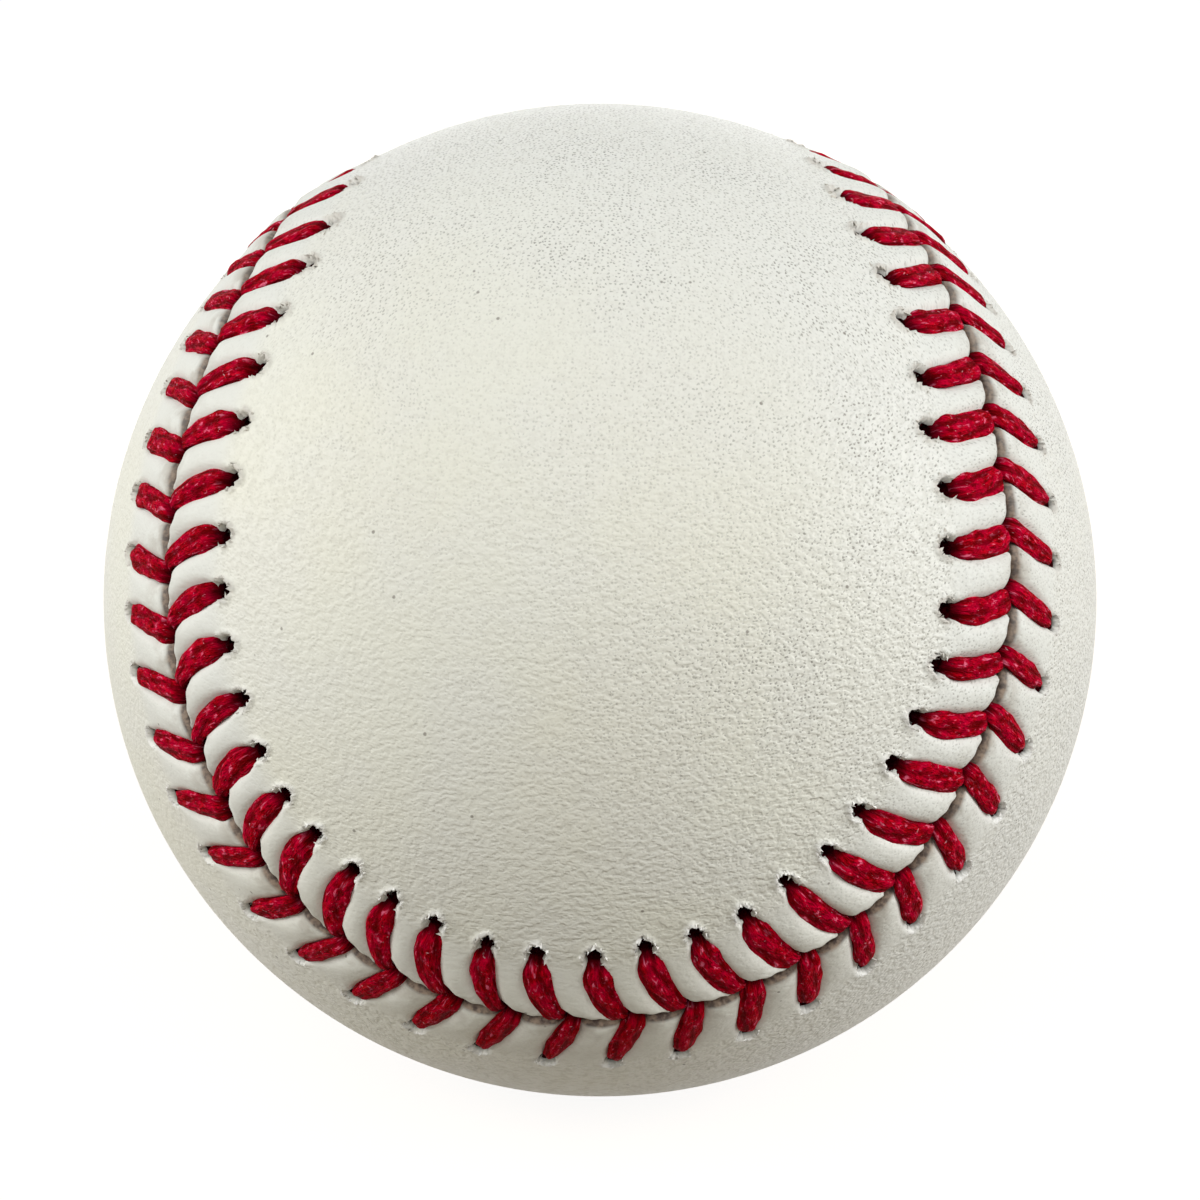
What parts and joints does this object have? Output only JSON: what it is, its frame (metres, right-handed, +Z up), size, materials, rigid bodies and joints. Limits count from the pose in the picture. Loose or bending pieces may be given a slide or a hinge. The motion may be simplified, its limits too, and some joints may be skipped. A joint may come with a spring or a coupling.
{
  "type": "baseball",
  "caption": "Leather-covered ball with a cork and rubber pill, wool windings, and a two-piece white cover laced with red thread, for throwing, catching and batting.",
  "frame": {"origin": "middle of the ball", "axes": "+Z up, -Y towards the pictured side, where a rounded end of cover panel a comes down over the ball, +X through the middle of a rounded end of cover panel b"},
  "size_m": [0.074, 0.074, 0.074],
  "materials": {
    "cork": "ground cork bound with rubber, matte",
    "black_rubber": "moulded, matte",
    "red_rubber": "moulded, matte",
    "grey_wool": "tightly wound wool yarn",
    "white_wool": "tightly wound wool yarn",
    "finish_yarn": "fine polyester and cotton yarn under cement",
    "cover_leather": "white tanned leather with a fine grain and a low sheen",
    "red_thread": "waxed cotton thread, several plies"
  },
  "bodies": {
    "root": {"cork_core": "cork", "black_shell_upper": "black_rubber", "black_shell_lower": "black_rubber", "pill_washer": "red_rubber", "red_rubber_layer": "red_rubber", "first_winding": "grey_wool", "second_winding": "white_wool", "third_winding": "grey_wool", "finish_winding": "finish_yarn", "cover_panel_a": "cover_leather", "cover_panel_b": "cover_leather", "thread_first_needle": "red_thread", "thread_second_needle": "red_thread"}
  },
  "joints": []
}
